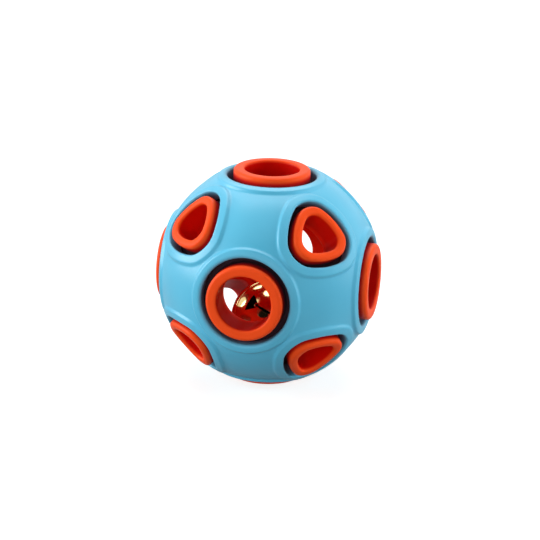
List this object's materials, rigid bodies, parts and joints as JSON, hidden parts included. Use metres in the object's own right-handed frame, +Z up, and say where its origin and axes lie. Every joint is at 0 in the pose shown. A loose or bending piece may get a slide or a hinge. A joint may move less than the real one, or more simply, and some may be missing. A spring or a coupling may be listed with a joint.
{
  "type": "rubber dog rattle ball",
  "caption": "Double-layer rubber dog ball: a blue shell with collared holes over an orange hollow ball whose open spouts stand in them, with a loose jingle bell inside.",
  "frame": {"origin": "centre of the ball", "axes": "+Z up through the top spout, -Y through the front spout, +X through the right spout"},
  "size_m": [0.0732, 0.0732, 0.0732],
  "materials": {
    "blue_rubber": "satin moulded thermoplastic rubber",
    "orange_rubber": "satin moulded thermoplastic rubber",
    "gilt_brass": "polished and gilded pressed sheet",
    "steel": "plain rolled"
  },
  "bodies": {
    "inner_ball": {"inner_ball_upper": "orange_rubber", "inner_ball_lower": "orange_rubber"},
    "outer_shell": {"outer_shell_upper": "blue_rubber", "outer_shell_lower": "blue_rubber"},
    "bell": {"bell_top_cup": "gilt_brass", "bell_slit_cup": "gilt_brass", "bell_loop": "gilt_brass"},
    "pellet": {"bell_pellet": "steel"}
  },
  "joints": [
    {"name": "shell_twist", "type": "hinge", "parent": "inner_ball", "child": "outer_shell", "pos_m": [0, 0, 0], "axis": [0, 0, 1], "range_deg": [-2.5, 2.5]},
    {"name": "bell_drop", "type": "slide", "parent": "inner_ball", "child": "bell", "axis": [0, 0, 1], "range_m": [0, 0.0327]},
    {"name": "pellet_roll", "type": "hinge", "parent": "bell", "child": "pellet", "pos_m": [0, 0, -0.01641], "axis": [-0.63, 0.76, -0.16], "continuous": true}
  ]
}
